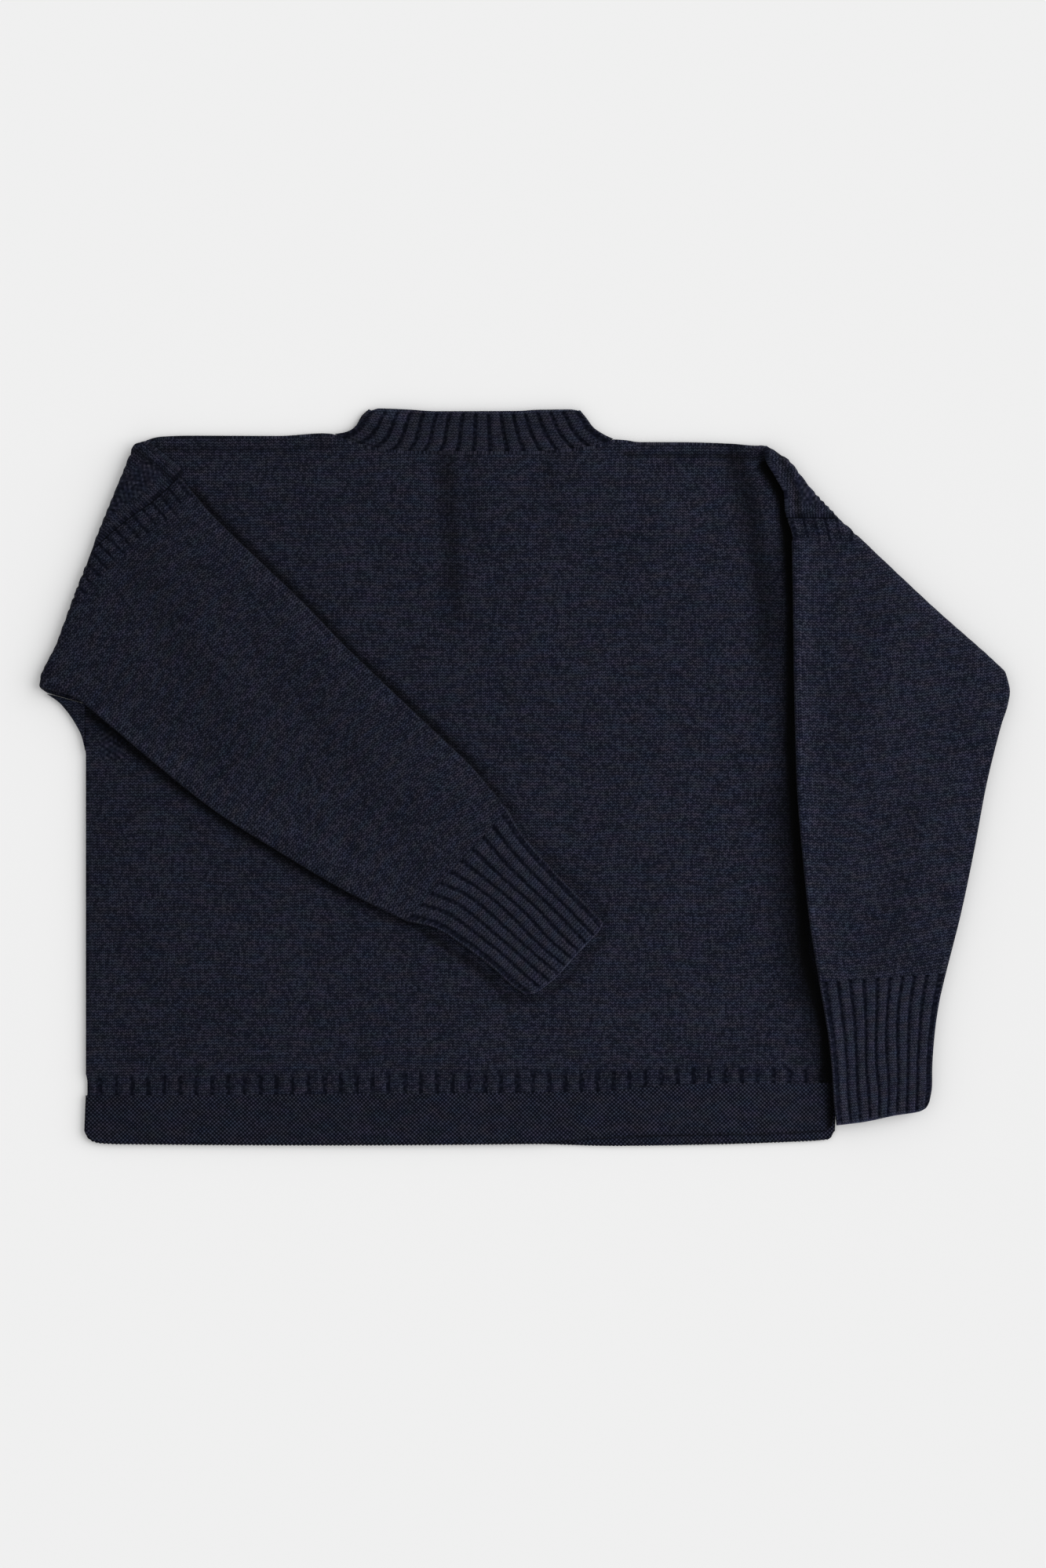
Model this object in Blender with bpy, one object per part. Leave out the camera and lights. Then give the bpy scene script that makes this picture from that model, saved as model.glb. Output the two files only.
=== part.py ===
"""Guernsey fisherman's sweater, laid flat on its back with both sleeves folded over its front.

Every piece is first shaped on the flat, with the sleeves straight out to the sides: two layers of knitted
cloth, one on the other, which meet in rounded edges. Two folds then bend all the layers together, so that the
left sleeve lies slantwise across the body and the right one hangs down along its side.

+X is to the right, +Y towards the neck, +Z up. The tables are in millimetres; a small shift at the end puts the
middle of the finished footprint on the origin.
"""
import math

import bmesh
import bpy
from mathutils import Vector

MM = 0.001

# Cloth and layers
CLOTH = 2.4                                # thickness of the knitted wall
LAYER_GAP = 0.6                            # air between a front layer and the back layer under it
SEAM_GAP = 0.3                             # between two pieces that are joined edge to edge
ARMHOLE_GAP = 0.45                         # the same where a fold crosses the seam and squeezes it
MID = CLOTH + LAYER_GAP / 2                # height at which the front meets the back
EDGE_RADIUS = MID                          # outside of a rounded edge, from floor to top layer
PITH_RADIUS = LAYER_GAP / 2                # inside of the same edge
ARC = tuple(math.radians(a) for a in (0, 30, 60, 90))
FOLD_RADIUS = 2 * CLOTH + 2 * LAYER_GAP    # height of a sleeve fold's axis, and the fold's outer radius
FOLD_STEPS = 8                             # facets around a sleeve fold

# Body
BODY_WIDTH = 641.0
BODY_CENTRE = -54.3
SIDE = {-1: BODY_CENTRE - BODY_WIDTH / 2, 1: BODY_CENTRE + BODY_WIDTH / 2}
# Seam between body and welt, left to right: share of the width, height
WELT_SEAM = ((0.0, -273.0), (0.68, -269.5), (0.8, -263.0), (1.0, -262.0))
GUSSET_FOOT = 22.0                         # lowest point of a gusset on the side of the body
ARMPIT = 62.0                              # where body, sleeve and gusset meet

# Seam of an armhole: share of the depth from the armpit up, and how far it stands out from the side
ARMHOLE = {
    -1: ((0.0, 0.0), (0.2, -1.8), (0.4, -3.3), (0.6, -4.2), (0.75, -1.0), (0.88, 5.0), (1.0, 7.0)),
    1: ((0.0, 0.0), (0.2, 1.2), (0.4, 2.0), (0.6, 3.0), (0.75, 3.8), (0.88, 2.4), (1.0, 0.8)),
}
SHOULDER_END = {-1: 296.0, 1: 268.5}       # top of the shoulder at the armhole
SLEEVE_TOP = {-1: 290.0, 1: 267.5}         # top of the sleeve at the armhole

# Top line of the body, left to right: x, y, and whether it is a shoulder (1) or the neck's edge (0)
TOP_LINE = (
    (-346.0, 294.6, 1),
    (-340.5, 293.4, 1),
    (-332.5, 281.0, 1),
    (-323.0, 287.5, 1),
    (-310.0, 290.6, 1),
    (-286.0, 291.4, 1),
    (-210.0, 291.2, 1),
    (-172.0, 293.4, 1),
    (-162.0, 292.6, 0),
    (-148.0, 286.5, 0),
    (-118.0, 280.0, 0),
    (-90.0, 278.2, 0),
    (0.0, 278.0, 0),
    (35.0, 280.0, 0),
    (62.0, 283.5, 0),
    (76.0, 288.3, 0),
    (88.0, 287.4, 1),
    (97.0, 285.9, 1),
    (135.0, 285.8, 1),
    (176.0, 284.6, 1),
    (197.0, 283.0, 1),
    (216.0, 284.0, 1),
    (234.0, 276.5, 1),
    (248.0, 269.0, 1),
)
NECK_ENDS = (-162.0, 76.0)

# Collar: share of its height, then where its left and right edges are
COLLAR_SIDES = (
    (0.0, -162.0, 292.9, 76.0, 288.6),
    (0.2, -151.5, 294.5, 67.0, 293.0),
    (0.45, -144.5, 299.5, 59.0, 298.5),
    (0.75, -139.0, 308.5, 53.0, 306.5),
    (1.0, -133.0, 314.0, 47.5, 313.2),
)
# Rim of the collar between its two edges: share of its width, height of the rim
COLLAR_RIM = ((0.0, 312.0), (0.05, 314.4), (0.18, 313.6), (0.32, 312.1), (0.7, 312.3), (0.8, 313.3), (0.97, 313.6),
              (1.0, 311.6))
COLLAR_END_SHARE = 0.04                    # at each end of its width, where the collar eases into its edge

# Hem welts: x and y of the free edge, left to right; the back one is longer on the right
FRONT_HEM = (
    (-376.0, -302.0), (-374.4, -306.4), (-370.0, -310.8), (-363.0, -313.0), (-348.0, -313.8), (-170.0, -314.8),
    (10.0, -313.6), (50.0, -310.0), (120.0, -306.6), (200.0, -305.4), (256.0, -302.6), (262.6, -298.0),
)
BACK_HEM = (
    (-376.0, -301.6), (-374.4, -306.0), (-370.0, -310.4), (-363.0, -312.7), (-348.0, -313.5), (-170.0, -314.5),
    (10.0, -313.9), (75.0, -315.4), (155.0, -314.3), (236.0, -311.6), (260.0, -309.8), (265.4, -302.0),
)
WELT_ROWS = (0.0, 0.5, 1.0)

# Sleeves on the flat: reach out from the side of the body, y of the top edge, y of the bottom edge
SLEEVE = {
    -1: ((33.0, 286.5, 71.5), (46.0, 284.5, 79.5), (74.0, 283.2, 91.2), (160.0, 281.0, 94.5),
         (210.0, 277.6, 97.5), (298.0, 275.4, 112.0), (350.0, 274.4, 123.0), (405.3, 267.6, 138.6)),
    1: ((19.0, 264.5, 66.0), (66.0, 266.8, 73.0), (132.0, 270.4, 85.0), (147.0, 271.2, 89.2),
        (160.6, 271.8, 87.4), (174.0, 272.4, 90.3), (187.0, 272.9, 95.6), (200.0, 273.4, 100.2),
        (240.0, 274.6, 112.8), (293.0, 273.6, 126.5), (345.0, 271.6, 141.0), (398.0, 266.8, 158.2)),
}
SLEEVE_SHARES = tuple(share for share, _ in ARMHOLE[1][1:-1])

# Cuffs: reach of the top edge and of the bottom edge, then their y
CUFF = {
    -1: ((405.6, 405.6, 267.4, 138.8), (430.0, 430.0, 260.4, 151.6), (454.0, 454.0, 257.0, 155.8),
         (488.0, 488.0, 254.0, 158.6), (512.0, 508.0, 252.6, 158.4), (530.8, 522.0, 251.0, 160.0)),
    1: ((398.3, 398.3, 266.7, 158.4), (424.0, 424.0, 264.0, 166.0), (451.0, 451.0, 261.8, 171.6),
        (477.0, 477.0, 261.0, 175.2), (500.0, 494.0, 260.6, 176.6), (521.0, 506.0, 258.5, 179.5)),
}
# Cuff ends: share of the width from the bottom edge up, and how far the end bows out of its straight line
CUFF_END = {
    -1: ((0.0, 0.0), (0.12, 6.2), (0.3, 7.4), (0.6, 5.1), (0.9, 3.0), (1.0, 0.0)),
    1: ((0.0, 0.0), (0.05, 4.8), (0.12, 6.2), (0.4, 4.2), (0.65, 3.4), (1.0, 0.0)),
}

# Gussets: outer edge between the sleeve and the body, as (reach, y) from the sleeve's end to the body's
GUSSET_EDGE = {
    -1: ((33.4, 70.6), (22.5, 62.8), (10.2, 47.0), (3.4, 33.5), (0.6, GUSSET_FOOT)),
    1: ((33.4, 66.6), (22.5, 59.8), (10.2, 46.0), (3.4, 33.5), (0.6, GUSSET_FOOT)),
}

# Sleeve folds: two points of the outer edge, and along it from the first one, how far the edge bows out
FOLDS = {
    -1: {"from": (-342.6, 261.3), "to": (-399.5, 113.9),
         "bow": ((0.0, 0.0), (70.0, 1.2), (120.0, 1.1), (158.0, 0.0), (172.0, 1.4), (187.0, 2.8), (200.0, 0.0))},
    1: {"from": (255.7, 234.5), "to": (399.1, 100.5),
        "bow": ((-74.0, 0.0), (-60.0, 4.0), (-46.0, 6.0), (-30.0, 3.4), (-12.0, 0.8), (40.0, -1.3), (120.0, -1.8),
                (190.0, 0.0))},
}
BOW_REACH = 45.0                           # how far in from the edge its bow is felt

FOOTPRINT_MIDDLE = (-0.036, -0.527)        # of the folded sweater, where the tables have it

NAVY = (0.012, 0.013, 0.023, 1.0)
NAVY_RIB = (0.010, 0.011, 0.020, 1.0)
WOOL_ROUGHNESS = 0.92


def clear_scene():
    """Remove whatever the open file holds."""
    for existing in list(bpy.data.objects):
        bpy.data.objects.remove(existing, do_unlink=True)


def wool(name, colour):
    """Matt worsted wool."""
    material = bpy.data.materials.new(name)
    material.use_nodes = True
    shader = material.node_tree.nodes["Principled BSDF"]
    shader.inputs["Base Color"].default_value = colour
    shader.inputs["Roughness"].default_value = WOOL_ROUGHNESS
    shader.inputs["Metallic"].default_value = 0.0
    return material


def read_table(rows, share):
    """Interpolate a table whose first column is a share from 0 to 1; gives its other columns."""
    for low, high in zip(rows, rows[1:]):
        if share <= high[0]:
            break
    part = (share - low[0]) / (high[0] - low[0])
    part = min(max(part, 0.0), 1.0)
    return [a + (b - a) * part for a, b in zip(low[1:], high[1:])]


def by_width(points):
    """Give a line's points their share of its width: rows of share, x, y."""
    first, last = points[0][0], points[-1][0]
    return [((x - first) / (last - first), x, y) for x, y in points]


def crossing(width, radius, shares):
    """Upper half of a flattened ring: (distance from its first edge, height above the middle)."""
    end = [(EDGE_RADIUS - radius * math.cos(a), radius * math.sin(a)) for a in ARC]
    flat = [(share * width, radius) for share in shares]
    return end + flat + [(width - d, h) for d, h in reversed(end)]


def flattened_ring(first, last, radius, shares, bow=None):
    """Closed loop of points between two edge points; bow shifts a point by its share of the width."""
    first, last = Vector(first), Vector(last)
    width = (last - first).length
    upper = crossing(width, radius, shares)
    lower = [(d, -h) for d, h in reversed(upper[1:-1])]
    loop = []
    for distance, height in upper + lower:
        place = first.lerp(last, distance / width)
        if bow:
            place = place + Vector(bow(distance / width))
        loop.append(Vector((place.x, place.y, MID + height)))
    return loop


def shell(outside, inside, closed):
    """Closed body between two grids of points: rows are stations, columns run around the section."""
    mesh = bmesh.new()
    skins = [[[mesh.verts.new(p) for p in row] for row in grid] for grid in (outside, inside)]
    outer, inner = skins
    rows, columns = len(outside), len(outside[0])
    spans = columns if closed else columns - 1
    for j in range(rows - 1):
        for k in range(spans):
            m = (k + 1) % columns
            mesh.faces.new((outer[j][k], outer[j][m], outer[j + 1][m], outer[j + 1][k]))
            mesh.faces.new((inner[j + 1][k], inner[j + 1][m], inner[j][m], inner[j][k]))
    for j in (0, rows - 1):
        for k in range(spans):
            m = (k + 1) % columns
            mesh.faces.new((outer[j][k], inner[j][k], inner[j][m], outer[j][m]))
    if not closed:
        for k in (0, columns - 1):
            for j in range(rows - 1):
                mesh.faces.new((outer[j][k], outer[j + 1][k], inner[j + 1][k], inner[j][k]))
    bmesh.ops.recalc_face_normals(mesh, faces=mesh.faces)
    return mesh


def fold_frame(fold):
    """A fold's first point, its direction and its outward normal."""
    start, end = Vector(fold["from"]), Vector(fold["to"])
    along = (end - start).normalized()
    outward = Vector((-along.y, along.x))
    if outward.dot(start - Vector((BODY_CENTRE, 0.0))) < 0:
        outward = -outward
    return start, along, outward


def split_quads(mesh, outward):
    """Split every quad along its diagonal that rises outwards, so that facing rims bend alike."""
    for face in [f for f in mesh.faces if len(f.verts) == 4]:
        a, b, c, d = face.verts
        first, second = c.co - a.co, d.co - b.co
        if first.z * first.xy.dot(outward) > second.z * second.xy.dot(outward):
            bmesh.utils.face_split(face, a, c)
        else:
            bmesh.utils.face_split(face, b, d)
    bmesh.ops.triangulate(mesh, faces=[f for f in mesh.faces if len(f.verts) > 3])


def fold_over(mesh, fold):
    """Bend all that lies beyond a fold's axis up and over, on top of the rest, and bow the edge."""
    start, along, outward = fold_frame(fold)
    axis = start - outward * FOLD_RADIUS
    bend = 2 * FOLD_RADIUS                 # length of cloth in the bend, as the outer edge shows it
    for step in range(FOLD_STEPS + 1):
        place = axis + outward * (bend * step / FOLD_STEPS)
        geometry = mesh.verts[:] + mesh.edges[:] + mesh.faces[:]
        bmesh.ops.bisect_plane(mesh, geom=geometry, dist=1e-4, plane_co=(place.x, place.y, 0.0),
                               plane_no=(outward.x, outward.y, 0.0))
    split_quads(mesh, outward)
    for vertex in mesh.verts:
        distance = (vertex.co.xy - axis).dot(outward)
        if distance <= 0:
            continue
        angle = math.pi * min(distance / bend, 1.0)
        radius = FOLD_RADIUS - vertex.co.z
        out = radius * math.sin(angle) - max(distance - bend, 0.0)
        flat = vertex.co.xy - outward * distance
        place = flat + outward * out
        vertex.co = (place.x, place.y, FOLD_RADIUS - radius * math.cos(angle))
    for vertex in mesh.verts:
        offset = vertex.co.xy - start
        bow, = read_table(fold["bow"], offset.dot(along))
        weight = min(max(1 + offset.dot(outward) / BOW_REACH, 0.0), 1.0)
        vertex.co += (outward * bow * weight ** 2).to_3d()


def finish(mesh, name, material):
    """Fold a piece with the rest of the sweater and make its object, in metres."""
    for fold in FOLDS.values():
        fold_over(mesh, fold)
    bmesh.ops.triangulate(mesh, faces=mesh.faces)
    bmesh.ops.translate(mesh, vec=(-FOOTPRINT_MIDDLE[0], -FOOTPRINT_MIDDLE[1], 0.0), verts=mesh.verts)
    bmesh.ops.scale(mesh, vec=(MM, MM, MM), verts=mesh.verts)
    data = bpy.data.meshes.new(name)
    mesh.to_mesh(data)
    mesh.free()
    data.materials.append(material)
    data.shade_smooth()
    data.set_sharp_from_angle(angle=math.radians(40))
    piece = bpy.data.objects.new(name, data)
    bpy.context.collection.objects.link(piece)
    return piece


def armhole_points(side, gap=0.0):
    """Seam of an armhole from the armpit up, moved out by a gap."""
    depth = SLEEVE_TOP[side] - ARMPIT
    return [Vector((SIDE[side] + side * (stand + gap), ARMPIT + share * depth)) for share, stand in ARMHOLE[side]]


def body_side(side):
    """Side of the body from the welt to the shoulder: points, and how far each is rounded over."""
    x, low = SIDE[side], WELT_SEAM[0 if side < 0 else -1][1] + SEAM_GAP
    points = [(Vector((x, low)), 1), (Vector((x, (low + GUSSET_FOOT) / 2)), 1), (Vector((x, GUSSET_FOOT - 2)), 1),
              (Vector((x, GUSSET_FOOT)), 0)]
    points += [(point, 0) for point in armhole_points(side)[:-1]]
    top = armhole_points(side)[-1]
    points.append((Vector((top.x, SHOULDER_END[side])), 0))
    return points


def body_panel(name, upward, material):
    """Front (upward 1) or back (upward -1) of the body: a sheet between four border lines."""
    left, right = body_side(-1), body_side(1)
    line = [(left[-1][0].x, left[-1][0].y, 1)] + list(TOP_LINE) + [(right[-1][0].x, right[-1][0].y, 1)]
    first, last = line[0][0], line[-1][0]
    top = [((x - first) / (last - first), x, y - (0.0 if shoulder else SEAM_GAP), shoulder)
           for x, y, shoulder in line]
    grids = []
    for radius in (EDGE_RADIUS, PITH_RADIUS):
        end = [(EDGE_RADIUS - radius * math.cos(a), max(radius * math.sin(a), SEAM_GAP / 2)) for a in ARC]
        plain = [(EDGE_RADIUS * (1 - math.cos(a)), radius) for a in ARC]
        inner = sorted([row[0] for row in top[1:-1]] + [row[0] for row in WELT_SEAM[1:-1]])
        columns = [(0, i) for i in range(len(ARC))] + [(share, None) for share in inner]
        columns += [(1, i) for i in reversed(range(len(ARC)))]
        rows = [(j, None) for j in range(len(left) - 1)] + [(len(left) - 1, i) for i in reversed(range(len(ARC)))]
        grid = []
        for j, top_index in rows:
            ends, rounded = (left[j][0], right[j][0]), left[j][1]
            width = (ends[1] - ends[0]).length
            points = []
            for share, index in columns:
                height = radius
                if index is not None:
                    inset, edge_height = end[index] if rounded else plain[index]
                    height = min(height, edge_height)
                    share = inset / width if share == 0 else 1 - inset / width
                x_top, y_top, shoulder = read_table(top, share)
                y_low = read_table(WELT_SEAM, share)[0] + SEAM_GAP
                rise = [(side[j][0].y - side[0][0].y) / (side[-1][0].y - side[0][0].y) for side in (left, right)]
                lift = rise[0] + share * (rise[1] - rise[0])
                x_side = ends[0].x + share * (ends[1].x - ends[0].x)
                x = x_side + lift * (x_top - (left[-1][0].x + share * (right[-1][0].x - left[-1][0].x)))
                y = y_low + lift * (y_top - y_low)
                if top_index is not None:
                    inset, edge_height = end[top_index] if shoulder > 0.5 else plain[top_index]
                    y = y_top - inset
                    height = min(height, edge_height)
                points.append(Vector((x, y, MID + upward * height)))
            grid.append(points)
        grids.append(grid)
    return finish(shell(grids[0], grids[1], closed=False), name, material)


def welt(name, upward, hem, material):
    """Hem welt: a flat strip below the body, free at both sides."""
    lower = by_width(hem)
    shares = sorted([row[0] for row in lower] + [row[0] for row in WELT_SEAM[1:-1]])
    grids = []
    for radius in (EDGE_RADIUS, PITH_RADIUS):
        grid = []
        for row in WELT_ROWS:
            points = []
            for share in shares:
                x_low, y_low = read_table(lower, share)
                x_high = SIDE[-1] + share * BODY_WIDTH
                y_high, = read_table(WELT_SEAM, share)
                points.append(Vector((x_low + row * (x_high - x_low), y_low + row * (y_high - y_low),
                                      MID + upward * radius)))
            grid.append(points)
        grids.append(grid)
    return finish(shell(grids[0], grids[1], closed=False), name, material)


def sleeve(name, side, material):
    """Sleeve from the armhole to the cuff: a flattened tube whose first ring follows the armhole's seam."""
    depth = SLEEVE_TOP[side] - ARMPIT
    straight = [Vector((SIDE[side] + side * ARMHOLE_GAP, ARMPIT + SEAM_GAP)),
                Vector((SIDE[side] + side * (ARMHOLE[side][-1][1] + ARMHOLE_GAP), SLEEVE_TOP[side]))]

    def seam_bow(share):
        stand, = read_table(ARMHOLE[side], share)
        return side * (stand - share * ARMHOLE[side][-1][1]), 0.0

    stations = [(straight[0], straight[1], seam_bow)]
    for reach, top, bottom in SLEEVE[side]:
        x = SIDE[side] + side * reach
        stations.append((Vector((x, bottom)), Vector((x, top)), None))
    grids = [[flattened_ring(low, high, radius, SLEEVE_SHARES, bow) for low, high, bow in stations]
             for radius in (EDGE_RADIUS, PITH_RADIUS)]
    return finish(shell(grids[0], grids[1], closed=True), name, material)


def cuff(name, side, material):
    """Ribbed cuff: a flattened tube that goes on from the sleeve."""
    def end_bow(share):
        bow, = read_table(CUFF_END[side], share)
        return side * bow, 0.0

    grids = []
    for radius in (EDGE_RADIUS, PITH_RADIUS):
        grid = []
        for station in CUFF[side]:
            top_reach, bottom_reach, top, bottom = station
            low = (SIDE[side] + side * bottom_reach, bottom)
            high = (SIDE[side] + side * top_reach, top)
            bow = end_bow if station is CUFF[side][-1] else None
            grid.append(flattened_ring(low, high, radius, SLEEVE_SHARES, bow))
        grids.append(grid)
    return finish(shell(grids[0], grids[1], closed=True), name, material)


def collar(name, material):
    """Stand collar: a flattened tube on the neck's edge, open at its rim."""
    neck = [(x, y) for x, y, _ in TOP_LINE if NECK_ENDS[0] <= x <= NECK_ENDS[1]]
    base = by_width(neck)
    shares = [row[0] for row in base[1:-1]]
    grids = []
    for radius in (EDGE_RADIUS, PITH_RADIUS):
        grid = []
        for row, x_left, y_left, x_right, y_right in COLLAR_SIDES:
            def bow(share):
                _, y_base = read_table(base, share)
                y_rim, = read_table(COLLAR_RIM, share)
                level = y_left + share * (y_right - y_left)
                weight = min(min(share, 1 - share) / COLLAR_END_SHARE, 1.0)
                return 0.0, weight * (y_base + row * (y_rim - y_base) - level)
            grid.append(flattened_ring((x_left, y_left), (x_right, y_right), radius, shares, bow))
        grids.append(grid)
    return finish(shell(grids[0], grids[1], closed=True), name, material)


def gusset(name, side, material):
    """Underarm gusset: a diamond folded in half, its fold on the outline between sleeve and body."""
    edge = [Vector((SIDE[side] + side * reach, y)) for reach, y in GUSSET_EDGE[side]]
    corner = Vector((SIDE[side] + side * SEAM_GAP, ARMPIT - SEAM_GAP))
    sleeve_end = edge[0] + Vector((-side * 4.5, -0.8))
    body_end = edge[-1] + Vector((0.0, 4.0))
    inner_line = [sleeve_end, sleeve_end.lerp(corner, 0.5), corner, corner.lerp(body_end, 0.5), body_end]
    grids = []
    for radius in (EDGE_RADIUS, PITH_RADIUS):
        grid = []
        for outer, inner in zip(edge, inner_line):
            width = (inner - outer).length
            upper = [(EDGE_RADIUS - radius * math.cos(a), radius * math.sin(a)) for a in ARC]
            upper = [(min(d, width * 0.9), h) for d, h in upper] + [(width, radius)]
            loop = [(d, -h) for d, h in reversed(upper[1:])] + upper
            grid.append([Vector((*outer.lerp(inner, d / width), MID + h)) for d, h in loop])
        grids.append(grid)
    return finish(shell(grids[0], grids[1], closed=False), name, material)


def build():
    """Make the whole sweater."""
    clear_scene()
    body_wool, rib_wool = wool("navy_wool", NAVY), wool("navy_wool_rib", NAVY_RIB)
    body_panel("body_front", 1, body_wool)
    body_panel("body_back", -1, body_wool)
    welt("welt_front", 1, FRONT_HEM, rib_wool)
    welt("welt_back", -1, BACK_HEM, rib_wool)
    for word, side in (("left", -1), ("right", 1)):
        sleeve(f"sleeve_{word}", side, body_wool)
        cuff(f"cuff_{word}", side, rib_wool)
        gusset(f"gusset_{word}", side, body_wool)
    collar("collar", rib_wool)


build()
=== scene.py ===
"""Looks of a guernsey fisherman's sweater that lies flat on its back, both sleeves folded over its front.

Every piece is laid out as a flat pattern of two layers, as its CAD node is, but finely enough to carry ribs,
seams and creases. The two sleeve folds then bend the whole pattern. A UV map counts stitches, so that the
knitting follows the wales of each piece.

Tables are in millimetres, in the pattern's own frame. +X is to the right, +Y towards the neck, +Z up.
"""
import math

import bmesh
import bpy
import numpy as np
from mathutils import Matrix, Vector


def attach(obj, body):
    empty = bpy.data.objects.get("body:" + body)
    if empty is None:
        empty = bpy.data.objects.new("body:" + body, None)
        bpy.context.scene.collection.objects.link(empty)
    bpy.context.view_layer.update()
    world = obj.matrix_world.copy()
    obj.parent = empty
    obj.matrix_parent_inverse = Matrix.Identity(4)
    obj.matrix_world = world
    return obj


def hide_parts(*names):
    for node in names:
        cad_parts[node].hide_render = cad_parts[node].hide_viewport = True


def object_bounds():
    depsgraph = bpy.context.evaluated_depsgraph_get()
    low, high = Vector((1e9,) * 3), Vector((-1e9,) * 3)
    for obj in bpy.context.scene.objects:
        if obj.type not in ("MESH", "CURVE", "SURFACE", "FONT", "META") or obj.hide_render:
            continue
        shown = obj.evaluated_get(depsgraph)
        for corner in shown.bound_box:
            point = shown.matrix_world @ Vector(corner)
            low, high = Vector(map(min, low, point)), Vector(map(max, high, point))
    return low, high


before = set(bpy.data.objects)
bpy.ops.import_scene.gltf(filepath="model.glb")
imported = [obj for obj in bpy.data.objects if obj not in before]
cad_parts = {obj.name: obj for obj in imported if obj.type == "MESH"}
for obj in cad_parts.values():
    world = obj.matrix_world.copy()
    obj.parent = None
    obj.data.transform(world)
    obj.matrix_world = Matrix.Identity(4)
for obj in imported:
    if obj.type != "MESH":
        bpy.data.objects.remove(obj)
cad_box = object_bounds()

MM = 0.001
FOOTPRINT_MIDDLE = np.array((-0.036, -0.527, 0.0))   # the tables' place of the CAD's origin

# Cloth and layers
CLOTH = 2.4
LAYER_GAP = 0.6
SEAM_GAP = 0.3
ARMHOLE_GAP = 0.45
MID = CLOTH + LAYER_GAP / 2                # height at which the front meets the back
EDGE_RADIUS = MID
PITH_RADIUS = LAYER_GAP / 2
FOLD_RADIUS = 2 * CLOTH + 2 * LAYER_GAP
ARC = np.radians(np.linspace(0, 90, 6))    # steps around a rounded edge
TUBE_EDGE_SHARE = 0.04                     # of a tube's width, that each rounded edge takes in
BODY_EDGE_SHARE = 0.008                    # of the body's width, likewise

# Gauge, in mm
WALE = 3.33
COURSE = 2.43
GARTER_PITCH = (3.45, 3.35)
STITCHES_A_RIB = 4                         # two knitted, two purled

# Body
BODY_WIDTH = 641.0
BODY_CENTRE = -54.3
SIDE = {-1: BODY_CENTRE - BODY_WIDTH / 2, 1: BODY_CENTRE + BODY_WIDTH / 2}
WELT_LENGTH = 45.0
WELT_SEAM = ((0.0, -273.0), (0.68, -269.5), (0.8, -263.0), (1.0, -262.0))
GUSSET_FOOT = 22.0                         # height where the gussets' seams start
ARMPIT = 62.0                              # height where the armholes start
# Armhole seams: share of the height from the armpit up, and how far the seam stands out from the side
ARMHOLE = {
    -1: ((0.0, 0.0), (0.2, -1.8), (0.4, -3.3), (0.6, -4.2), (0.75, -1.0), (0.88, 5.0), (1.0, 7.0)),
    1: ((0.0, 0.0), (0.2, 1.2), (0.4, 2.0), (0.6, 3.0), (0.75, 3.8), (0.88, 2.4), (1.0, 0.8)),
}
SHOULDER_END = {-1: 296.0, 1: 268.5}
SLEEVE_TOP = {-1: 290.0, 1: 267.5}

# Top line of the body, left to right: x, y, and whether it is a shoulder (1) or the neck's edge (0)
TOP_LINE = (
    (-346.0, 294.6, 1), (-340.5, 293.4, 1), (-332.5, 281.0, 1), (-323.0, 287.5, 1), (-310.0, 290.6, 1),
    (-286.0, 291.4, 1), (-210.0, 291.2, 1), (-172.0, 293.4, 1), (-162.0, 292.6, 0), (-148.0, 286.5, 0),
    (-118.0, 280.0, 0), (-90.0, 278.2, 0), (0.0, 278.0, 0), (35.0, 280.0, 0), (62.0, 283.5, 0),
    (76.0, 288.3, 0), (88.0, 287.4, 1), (97.0, 285.9, 1), (135.0, 285.8, 1), (176.0, 284.6, 1),
    (197.0, 283.0, 1), (216.0, 284.0, 1), (234.0, 276.5, 1), (248.0, 269.0, 1),
)
NECK_ENDS = (-162.0, 76.0)

# Collar: share of its height, then where its left and right edges are; then its rim by share of the width
COLLAR_SIDES = (
    (0.0, -162.0, 292.9, 76.0, 288.6), (0.2, -151.5, 294.5, 67.0, 293.0), (0.45, -144.5, 299.5, 59.0, 298.5),
    (0.75, -139.0, 308.5, 53.0, 306.5), (1.0, -133.0, 314.0, 47.5, 313.2),
)
COLLAR_RIM = ((0.0, 312.0), (0.05, 314.4), (0.18, 313.6), (0.32, 312.1), (0.7, 312.3), (0.8, 313.3),
              (0.97, 313.6), (1.0, 311.6))
COLLAR_END_SHARE = 0.012                   # of the width, over which the collar's ends join its sides
COLLAR_LENGTH = 34.0
COLLAR_DIP = 1.2 * SEAM_GAP                # how far its foot reaches below the neck's edge

# Lower edges of the welts, left to right
FRONT_HEM = (
    (-376.0, -302.0), (-374.4, -306.4), (-370.0, -310.8), (-363.0, -313.0), (-348.0, -313.8),
    (-170.0, -314.8), (10.0, -313.6), (50.0, -310.0), (120.0, -306.6), (200.0, -305.4), (256.0, -302.6),
    (262.6, -298.0),
)
BACK_HEM = (
    (-376.0, -301.6), (-374.4, -306.0), (-370.0, -310.4), (-363.0, -312.7), (-348.0, -313.5),
    (-170.0, -314.5), (10.0, -313.9), (75.0, -315.4), (155.0, -314.3), (236.0, -311.6), (260.0, -309.8),
    (265.4, -302.0),
)

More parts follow.
